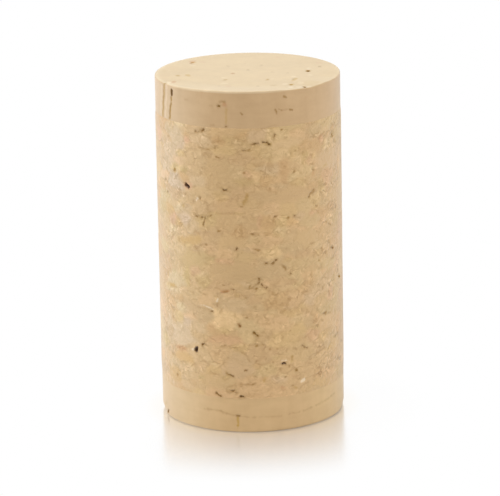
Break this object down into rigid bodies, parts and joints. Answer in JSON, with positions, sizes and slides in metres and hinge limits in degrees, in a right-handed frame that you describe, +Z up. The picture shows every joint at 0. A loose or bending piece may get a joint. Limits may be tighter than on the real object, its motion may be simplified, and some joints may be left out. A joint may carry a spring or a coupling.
{
  "type": "cork stopper",
  "caption": "Cylindrical cork bottle stopper: a moulded cork-granule body with a thin natural cork disc glued to each end.",
  "frame": {"origin": "centre of the lower end face, on the surface that the stopper stands on", "axes": "+Z up along the stopper's axis; the side that the picture shows faces -Y"},
  "size_m": [0.0236, 0.0236, 0.044],
  "materials": {
    "natural_cork": "natural cork, ground smooth, dry and matt, with brown lenticels",
    "agglomerated_cork": "bound cork granules, ground smooth, dry and matt, with open pores"
  },
  "bodies": {
    "root": {"top_disc": "natural_cork", "agglomerated_body": "agglomerated_cork", "bottom_disc": "natural_cork"}
  },
  "joints": []
}
